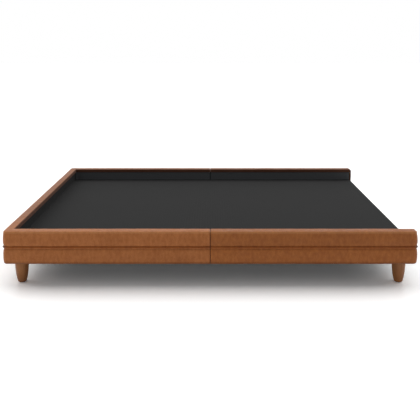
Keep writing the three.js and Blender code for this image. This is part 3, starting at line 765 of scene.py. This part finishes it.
# A dark line down the walls where the halves meet: painted shade.
painted_shade_line_at_joint = add(tree, "MapRange", (from_joint, 0.0015, 0.0035, 1.0, 0.0))
cloth_shades = [
    (add(tree, "MapRange", (slubs, 0.3, 0.7)), "#292929"),
    (add(tree, "MapRange", (weave, 0.0, 0.6, 0.35, 0.0)), "#1b1b1b"),
    (add(tree, "MapRange", (patches, 0.35, 0.65, 0.0, 0.12)), "#202021"),
    (painted_light_on_walls, "#505254"),
    (add(tree, "Math", (raised, painted_shade_line_at_joint), operation="MULTIPLY"), "#0b0b0c"),
]
cloth_colour = linear("#212121")
for share, shade in cloth_shades:
    mixed = {0: share, 6: cloth_colour, 7: linear(shade)}
    cloth_colour = add(tree, "Mix", mixed, data_type="RGBA").outputs[2]
threads = add(tree, "Bump", {"Height": weave, "Distance": 0.00035, "Strength": 0.5})
feed(tree, shader, {"Base Color": cloth_colour, "Normal": threads})

deck_top = 207.0
lining_bottom_gap = 0.3
cloth_thickness = 2.5
deck_foot, deck_head = -1008.7, 1046.0
deck_side = 777.7
flap_half = recess_half_width - 0.4
wall_top = lining_top - lining_bottom_gap
fold = 5.0


def deck_cloth_points():
    """Grids of the cloth's upper face: the floor, three walls and the head flap, whose shared
    edges are welded afterwards."""
    face_foot, face_side = deck_foot + cloth_thickness, deck_side - cloth_thickness
    bend = np.linspace(0, math.pi / 2, 5)
    wall = [(fold * (1 - math.sin(a)), fold * (1 - math.cos(a))) for a in bend]
    wall += [(0.0, height - deck_top) for height in (216.0, 224.0, 234.0, 244.0, 254.0, wall_top)]
    head_radius = 4.0
    xs = np.linspace(face_foot + fold, deck_head - head_radius, 104)
    ys = np.linspace(-face_side + fold, face_side - fold, 78)
    grids = [[[(x, y, deck_top) for y in ys] for x in xs]]
    for sign in (-1, 1):
        rows = []
        for inset, up in wall:
            start = face_foot + inset
            row_x = [start] + list(xs[1:])
            rows.append([(x, sign * (face_side - inset), deck_top + up) for x in row_x])
        grids.append(rows)
    foot_rows = []
    for inset, up in wall:
        row_y = [-face_side + inset] + list(ys[1:-1]) + [face_side - inset]
        foot_rows.append([(face_foot + inset, y, deck_top + up) for y in row_y])
    grids.append(foot_rows)
    bend = np.linspace(0, math.pi / 2, 6)
    over = deck_head - head_radius
    flap = [(over + head_radius * math.sin(a), -head_radius + head_radius * math.cos(a)) for a in bend]
    flap += [(deck_head, -down) for down in (12.0, 24.0, 40.0, 56.0, 72.0, 85.4)]
    flap_rows = []
    for k, (x, up) in enumerate(flap):
        narrow = flap_half if k > 0 else ys[-1]
        row_y = [y * min(1.0, narrow / ys[-1]) for y in ys]
        flap_rows.append([(x, y, deck_top + up) for y in row_y])
    grids.append(flap_rows)
    return grids


def face_up(made):
    """Welds a sheet's points that lie together, drops loose ones and turns its faces upwards."""
    shape = bmesh.new()
    shape.from_mesh(made.data)
    bmesh.ops.remove_doubles(shape, verts=shape.verts, dist=0.00005)
    loose = [vertex for vertex in shape.verts if not vertex.link_faces]
    bmesh.ops.delete(shape, geom=loose, context="VERTS")
    bmesh.ops.recalc_face_normals(shape, faces=shape.faces)
    middle = min(shape.faces, key=lambda face: face.calc_center_median().xy.length)
    if middle.normal.z < 0:
        bmesh.ops.reverse_faces(shape, faces=shape.faces)
    shape.to_mesh(made.data)
    shape.free()


points, faces = [], []
for grid in deck_cloth_points():
    rows, columns = len(grid), len(grid[0])
    base = len(points)
    for row in grid:
        points += row
    for r in range(rows - 1):
        for c in range(columns - 1):
            a = base + r * columns + c
            faces.append((a, a + 1, a + columns + 1, a + columns))
deck_cover = mesh_object("deck_cover_cloth", points, faces, deck_cloth, sharp_degrees=50)
face_up(deck_cover)
# Slow waves in the cloth, in metres, which die out towards the folds along its edges.
wave_margin, wave_reach, wave_rise = 0.06, 0.28, 0.0006
wave_side, wave_foot, wave_head = 0.765, -0.995, 1.03
for vertex in deck_cover.data.vertices:
    if vertex.co.z > deck_top / 1000 - 0.0005:
        inside = 1.0
        x, y = vertex.co.x, vertex.co.y
        for past in (wave_side - abs(y), x - wave_foot, wave_head - x):
            inside *= min(1.0, max(0.0, past / wave_margin))
        slow = noise.noise(Vector((x / wave_reach, y / wave_reach, 5.0)))
        vertex.co.z += inside * (slow - 0.5) * wave_rise
deck_cover.data.update()
thickness = deck_cover.modifiers.new("cloth_thickness", "SOLIDIFY")
thickness.thickness = (cloth_thickness - 0.1) / 1000
thickness.offset = -1.0
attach(deck_cover, "base")
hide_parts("deck_cover")

# Deck foam: a pad of cream polyurethane foam on each half's springs, cut with a hot wire, so its
# edges are crisp and its faces show small open cells.
deck_foam, tree, shader = new_finish(
    "cream_polyurethane_foam", Roughness=0.95, Specular_IOR_Level=0.1
)
cells = add(tree, "TexVoronoi", {"Vector": object_place(tree), "Scale": 1000 / 1.6})
opened = add(tree, "MapRange", (cells, 0.0, 0.6))
open_cells = {0: opened, 6: linear("#b9a878"), 7: linear("#e2d7b4")}
colour = add(tree, "Mix", open_cells, data_type="RGBA").outputs[2]
pits = add(tree, "Bump", {"Height": cells, "Distance": 0.0005, "Strength": 1.0})
feed(tree, shader, {"Base Color": colour, "Normal": pits})
foam_side, foam_bottom, foam_top, foam_corner = 777.4, 190.3, 204.2, 4.0


def rounded_rectangle(low, high, radius):
    """A rectangle's outline in plan with rounded corners."""
    left, right = low[0] + radius, high[0] - radius
    front, back = low[1] + radius, high[1] - radius
    outline = []
    for quarter, (x, y) in enumerate([(right, back), (left, back), (left, front), (right, front)]):
        for angle in np.linspace(quarter * math.pi / 2, (quarter + 1) * math.pi / 2, 5):
            outline.append((x + radius * math.cos(angle), y + radius * math.sin(angle)))
    return outline


def foam_pad(name, low_x, high_x):
    """A pad with softened edges and slightly hollow sides, as (inset, height) levels."""
    levels = [(1.6, foam_bottom), (0.5, foam_bottom + 0.5), (0.0, foam_bottom + 1.8)]
    levels += [(0.35, (foam_bottom + foam_top) / 2)]
    levels += [(0.0, foam_top - 1.8), (0.5, foam_top - 0.5), (1.6, foam_top)]
    points = []
    for inset, z in levels:
        low, high = (low_x + inset, -foam_side + inset), (high_x - inset, foam_side - inset)
        points += [(x, y, z) for x, y in rounded_rectangle(low, high, foam_corner)]
    count = len(points) // len(levels)
    faces = tube_faces(len(levels), count)
    faces.append(tuple(range(count))[::-1])
    faces.append(tuple(range(len(points) - count, len(points))))
    return outward(mesh_object(name, points, faces, deck_foam, sharp_degrees=30))


foot_foam = foam_pad("foot_deck_foam_pad", low_x=-1008.4, high_x=-0.3)
head_foam = foam_pad("head_deck_foam_pad", low_x=0.3, high_x=1042.9)
for piece in (foot_foam, head_foam):
    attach(piece, "base")
    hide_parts(piece.name.removesuffix("_pad"))

# Dust covers: thin black spunbond cloth, pressed all over with small dots and stapled under each
# half box. It is cut out round the corner blocks and the centre post, and hangs a little between
# its fixings.
dust_cloth, tree, shader = new_finish("black_spunbond_cloth", Roughness=0.9, Specular_IOR_Level=0.15)
place = object_place(tree)
dimples = add(tree, "TexVoronoi", {"Vector": place, "Scale": 1000 / 2.5, "Randomness": 0.0})
dimples = add(tree, "MapRange", (dimples, 0.0, 0.4))
fibres = {"Vector": place, "Scale": 1000 / 5.0, "Detail": 5.0, "Roughness": 0.7}
fibres = add(tree, "TexNoise", fibres)
spun = {0: add(tree, "MapRange", (fibres, 0.3, 0.7)), 6: linear("#161617"), 7: linear("#29292b")}
colour = add(tree, "Mix", spun, data_type="RGBA").outputs[2]
embossed = add(tree, "Bump", {"Height": dimples, "Distance": 0.0003, "Strength": 1.0})
feed(tree, shader, {"Base Color": colour, "Normal": embossed})
post_offset, joint_gap = 350.0, 0.8
dust_height, most_slack, slack_start, slack_reach = 120.6, 2.0, 45.0, 120.0


def dust_cover(name, sign, end, block):
    """A stapled sheet with two windows for corner blocks and a round one for the post plate."""
    low_x, high_x = sorted((sign * joint_gap, sign * end))
    side = 793.7
    block_x = sorted((sign * block[0], sign * block[1]))
    block_y = (697.1, 778.3)
    post_x = sign * post_offset
    reach, hole = 40.0, 32.6
    plain_x = [low_x, high_x, *block_x, *np.linspace(post_x - reach, post_x + reach, 9)]
    plain_x += [x for x in np.arange(low_x + 30, high_x - 20, 60) if abs(x - post_x) > 55]
    xs = sorted({round(float(x), 3) for x in plain_x})
    half_y = [side, *block_y, *np.linspace(0, reach, 5), *np.arange(90, 690, 60)]
    ys = sorted({round(float(y) * way, 3) for y in half_y for way in (-1, 1)})
    points, index = [], {}
    for i, x in enumerate(xs):
        for j, y in enumerate(ys):
            from_post = math.hypot(x - post_x, y)
            slack = math.sin(math.pi * (x - low_x) / (high_x - low_x))
            slack *= abs(math.sin(math.pi * y / side))
            slack *= min(1.0, max(0.0, from_post - slack_start) / slack_reach)
            index[i, j] = len(points)
            points.append((x, y, dust_height - most_slack * slack))
    faces = []
    for i in range(len(xs) - 1):
        for j in range(len(ys) - 1):
            middle = ((xs[i] + xs[i + 1]) / 2, (ys[j] + ys[j + 1]) / 2)
            in_block = block_x[0] < middle[0] < block_x[1] and block_y[0] < abs(middle[1]) < block_y[1]
            in_post = max(abs(middle[0] - post_x), abs(middle[1])) < reach
            if not in_block and not in_post:
                faces.append((index[i, j], index[i + 1, j], index[i + 1, j + 1], index[i, j + 1]))
    from_post = [max(abs(x - post_x), abs(y)) for x, y, _ in points]
    square = [k for k, away in enumerate(from_post) if abs(away - reach) < 0.01]
    square.sort(key=lambda k: math.atan2(points[k][1], points[k][0] - post_x))
    rim = len(points)
    for k in square:
        angle = math.atan2(points[k][1], points[k][0] - post_x)
        points.append((post_x + hole * math.cos(angle), hole * math.sin(angle), dust_height))
    for k in range(len(square)):
        j = (k + 1) % len(square)
        faces.append((square[k], square[j], rim + j, rim + k))
    sheet = mesh_object(name, points, faces, dust_cloth)
    face_up(sheet)
    thick = sheet.modifiers.new("cloth_thickness", "SOLIDIFY")
    thick.thickness = 0.0009
    thick.offset = -1.0
    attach(sheet, "base")
    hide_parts(name.removesuffix("_cloth"))


dust_cover("foot_dust_cover_cloth", sign=-1, end=1016.7, block=(908.1, 1009.3))
dust_cover("head_dust_cover_cloth", sign=1, end=1042.9, block=(920.3, 1021.5))


# Legs: beech turned on a lathe to a slim tapered cone, stained brown and rubbed with satin
# lacquer. A threaded rod in the top screws them into the corner blocks.
def wood_finish(name, along, pale, dark, pore_share, roughness, ring_mm=9.0):
    """Wood whose grain runs along one axis: growth rings, fibres and pores."""
    pale, dark = linear(pale), linear(dark)
    material, tree, shader = new_finish(name, Roughness=roughness, Specular_IOR_Level=0.35)
    stretch = [1.0, 1.0, 1.0]
    stretch[along] = 0.04
    place = object_place(tree, tuple(stretch))
    wander, fibres = [
        add(tree, "TexNoise", {"Vector": place, "Scale": scale, "Detail": detail, "Roughness": rough})
        for scale, detail, rough in ((1000 / 60, 2.0, 0.55), (1000 / 1.6, 3.0, 0.6))
    ]
    growth = {"Vector": place, "Scale": 1000 / ring_mm / 20, "Distortion": 9.0}
    growth |= {"Detail": 2.0, "Detail Scale": 1.2}
    rings = add(tree, "TexWave", growth, wave_type="RINGS", rings_direction="XYZ"[along])
    fibres = add(tree, "MapRange", (fibres, 0.35, 0.7))
    tone = add(tree, "Math", (rings.outputs["Fac"], 0.55, wander), operation="MULTIPLY_ADD")
    grown = {0: add(tree, "MapRange", (tone, 0.35, 1.15)), 6: pale, 7: dark}
    colour = add(tree, "Mix", grown, data_type="RGBA").outputs[2]
    pores = add(tree, "Math", (fibres, pore_share), operation="MULTIPLY")
    pored = {0: pores, 6: colour, 7: (*[0.45 * channel for channel in dark[:3]], 1.0)}
    colour = add(tree, "Mix", pored, data_type="RGBA").outputs[2]
    gloss = add(tree, "MapRange", (fibres, 0.0, 1.0, roughness - 0.05, roughness + 0.12))
    grain = add(tree, "Bump", {"Height": fibres, "Distance": 0.00012, "Strength": 1.0})
    feed(tree, shader, {"Base Color": colour, "Roughness": gloss, "Normal": grain})
    return material


stained_beech = wood_finish("stained_beech", 2, "#bd7e45", "#8a562c", 0.35, 0.42, ring_mm=12.0)
leg_height, leg_foot, leg_x, leg_y, leg_turn = 114.7, 3.3, 977.0, 754.0, 77


def lathe(name, profile, sides, material, at, reach=None, sharp_degrees=35):
    """A turned piece about the vertical through a plan point. reach changes the radius of a
    point by its radius, angle and height."""
    points, faces, rings = [], [], []
    for radius, z in profile:
        if radius < 0.01:
            rings.append([len(points)])
            points.append((0.0, 0.0, z))
            continue
        rings.append(list(range(len(points), len(points) + sides)))
        for k in range(sides):
            angle = 2 * math.pi * k / sides
            here = reach(radius, angle, z) if reach else radius
            points.append((here * math.cos(angle), here * math.sin(angle), z))
    for low, high in zip(rings, rings[1:]):
        for k in range(sides):
            j = (k + 1) % sides
            if len(low) == 1:
                faces.append((low[0], high[j], high[k]))
            elif len(high) == 1:
                faces.append((low[k], low[j], high[0]))
            else:
                faces.append((low[k], low[j], high[j], high[k]))
    made = outward(mesh_object(name, points, faces, material, sharp_degrees=sharp_degrees))
    made.location = (at[0] / 1000, at[1] / 1000, 0.0)
    return made


def leg_side(share):
    """Radius and height up the leg's side, which follows one curve."""
    radii, heights = (22.0, 29.15, 35.0, 35.0), (leg_foot, 28.675, 63.085, leg_height)
    weights = [(1 - share) ** 3, 3 * share * (1 - share) ** 2, 3 * share**2 * (1 - share), share**3]
    return sum(w * r for w, r in zip(weights, radii)), sum(w * z for w, z in zip(weights, heights))


leg_profile = [(0.0, 13.3), (3.3, 13.3), (3.3, leg_foot), (20.4, leg_foot), (21.2, 3.5), (21.8, 4.0)]
leg_profile += [leg_side(share) for share in np.linspace(0.012, 0.985, 34)]
leg_profile += [(35.0, 113.7), (34.7, 114.4), (34.0, leg_height), (5.3, leg_height), (5.3, 74.4)]
leg_profile += [(0.0, 74.4)]
leg_places = {
    f"{side}_{half}": (way_x * leg_x, way_y * leg_y)
    for side, way_y in (("front", -1), ("back", 1))
    for half, way_x in (("foot", -1), ("head", 1))
}
for turn, (place_name, spot) in enumerate(leg_places.items()):
    leg = lathe(f"{place_name}_leg_turned", leg_profile, 72, stained_beech, spot)
    leg.rotation_euler.z = math.radians(leg_turn * turn)
    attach(leg, "base")
    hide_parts(f"{place_name}_leg")


# Glides: injection-moulded black nylon discs under the legs, each held by a pin driven into the
# leg's end grain. The mould leaves the nylon an even, soft sheen.
def black_finish(name, fine_mm, cloud_mm, cloud_span, shades, gloss, depth):
    """A moulded or sprayed skin: soft clouds of two shades under an even, fine texture."""
    material, tree, shader = new_finish(name, Roughness=0.5, Specular_IOR_Level=0.4)
    place = object_place(tree)
    fine, cloud = [
        add(tree, "TexNoise", {"Vector": place, "Scale": scale, "Detail": detail, "Roughness": 0.55})
        for scale, detail in ((1000 / fine_mm, 2.0), (1000 / cloud_mm, 3.0))
    ]
    dark, pale = [linear(shade) for shade in shades]
    clouded = {0: add(tree, "MapRange", (cloud, *cloud_span)), 6: dark, 7: pale}
    surface = {
        "Base Color": add(tree, "Mix", clouded, data_type="RGBA").outputs[2],
        "Roughness": add(tree, "MapRange", (fine, 0.3, 0.7, *gloss)),
        "Normal": add(tree, "Bump", {"Height": fine, "Distance": depth, "Strength": 1.0}),
    }
    feed(tree, shader, surface)
    return material


black_plastic = black_finish(
    "black_nylon",
    fine_mm=0.9,
    cloud_mm=6.0,
    cloud_span=(0.35, 0.65),
    shades=("#1d1d1e", "#2b2b2c"),
    gloss=(0.42, 0.6),
    depth=0.00006,
)
glide_profile = [(0.0, 0.0), (15.5, 0.0), (16.8, 0.25), (17.7, 1.0), (18.0, 1.9), (17.9, 2.7)]
glide_profile += [(17.5, 3.0), (3.0, 3.0), (3.0, 11.8), (1.6, 13.0), (0.0, 13.0)]
for place_name, spot in leg_places.items():
    glide = lathe(f"{place_name}_glide_disc", glide_profile, 48, black_plastic, spot)
    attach(glide, "base")
    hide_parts(f"{place_name}_glide")

# Centre posts: black powder-coated steel tubes welded to round plates under the stringers. A
# nylon foot on a threaded spindle screws in and out below each one.
black_steel = black_finish(
    "black_powder_coat",
    fine_mm=1.3,
    cloud_mm=30,
    cloud_span=(0.3, 0.7),
    shades=("#1b1c1d", "#262728"),
    gloss=(0.38, 0.55),
    depth=0.00015,
)
post_profile = [(0.0, 82.0), (5.3, 82.0), (5.3, 22.0), (14.6, 22.0), (15.6, 22.3), (16.0, 23.0)]
post_profile += [(16.0, 113.5), (16.5, 115.0), (17.6, 116.4), (19.2, 117.4), (20.5, 117.7)]
post_profile += [(31.3, 117.7), (31.9, 118.2), (32.0, 119.2), (31.9, 120.2), (31.4, 120.7), (0.0, 120.7)]


thread_pitch, thread_depth, grips, grip_depth = 1.5, 0.75, 15, 0.7


def spindle(radius, angle, z):
    """The spindle's rolled thread, and the finger grips round the nylon foot."""
    if 8.9 < z and radius < 6:
        along = (z / thread_pitch - angle / (2 * math.pi)) % 1.0
        return radius - thread_depth * abs(2 * along - 1.0)
    if radius > 19.9:
        return radius - grip_depth * max(0.0, math.cos(grips * angle)) ** 4
    return radius


foot_profile = [(0.0, 0.0), (17.5, 0.0), (19.0, 0.6), (19.8, 1.6), (20.0, 2.6), (20.0, 5.4)]
foot_profile += [(19.6, 6.2), (18.0, 6.9), (13.5, 8.0), (10.4, 8.9), (5.0, 9.0)]
foot_profile += [(5.0, z) for z in np.arange(9.3, 68.6, 0.3)] + [(3.8, 69.0), (0.0, 69.0)]
for half, x in (("foot", -post_offset), ("head", post_offset)):
    post = lathe(f"{half}_centre_post_tube", post_profile, 56, black_steel, (x, 0.0))
    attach(post, "base")
    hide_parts(f"{half}_centre_post")
    name = f"{half}_centre_foot_spindle"
    foot = lathe(name, foot_profile, 60, black_plastic, (x, 0.0), reach=spindle, sharp_degrees=70)
    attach(foot, f"{half}_screw_foot")
    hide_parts(f"{half}_centre_foot")


# Carcass: planed pine boards, ledgers, stringers and slats, glued and screwed, with beech
# blocks in the corners. The leather, foam and cloths close over all of it.
def finish_nodes(names, material):
    """Gives nodes of the CAD a material, and leaves their meshes as they are."""
    for name in names:
        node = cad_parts[name]
        for material_slot in node.material_slots:
            material_slot.link = "OBJECT"
            material_slot.material = material


pine_tones = ("#dcbb8a", "#c08f58")
pine_along = wood_finish("pine_along_the_bed", 0, *pine_tones, 0.18, 0.62)
pine_across = wood_finish("pine_across_the_bed", 1, *pine_tones, 0.18, 0.62)
beech_blocks = wood_finish("beech_upright", 2, "#cf9f72", "#b07f52", 0.3, 0.58, ring_mm=14.0)
places = list(leg_places)
halves = ("foot", "head")
finish_nodes(
    [f"{name}_{kind}" for name in places for kind in ("board", "ledger")]
    + [f"{half}_stringer" for half in halves],
    pine_along,
)
finish_nodes(
    ["foot_board", "head_board"]
    + [f"{half}_joint_board" for half in halves]
    + [f"{half}_slat_{k}" for half in halves for k in range(1, 5)],
    pine_across,
)
finish_nodes([f"{name}_corner_block" for name in places], beech_blocks)

# Steel inside: formed-wire springs, leg bolts and joint bolts, all zinc plated in a bath, which
# leaves them bright with faint lighter and darker patches.
zinc_steel, tree, shader = new_finish("zinc_plated_steel", Metallic=1.0, Roughness=0.3)
spangle = {"Vector": object_place(tree), "Scale": 1000 / 4.0, "Detail": 3.0, "Roughness": 0.55}
spangle = add(tree, "TexNoise", spangle)
plated = {0: add(tree, "MapRange", (spangle, 0.3, 0.7)), 6: linear("#b5bac0"), 7: linear("#d4d7da")}
colour = add(tree, "Mix", plated, data_type="RGBA").outputs[2]
gloss = add(tree, "MapRange", (spangle, 0.3, 0.7, 0.24, 0.42))
feed(tree, shader, {"Base Color": colour, "Roughness": gloss})
finish_nodes(
    [f"{half}_spring_unit" for half in halves]
    + [f"{name}_leg_bolt" for name in places]
    + ["joint_bolt_front", "joint_bolt_back"],
    zinc_steel,
)
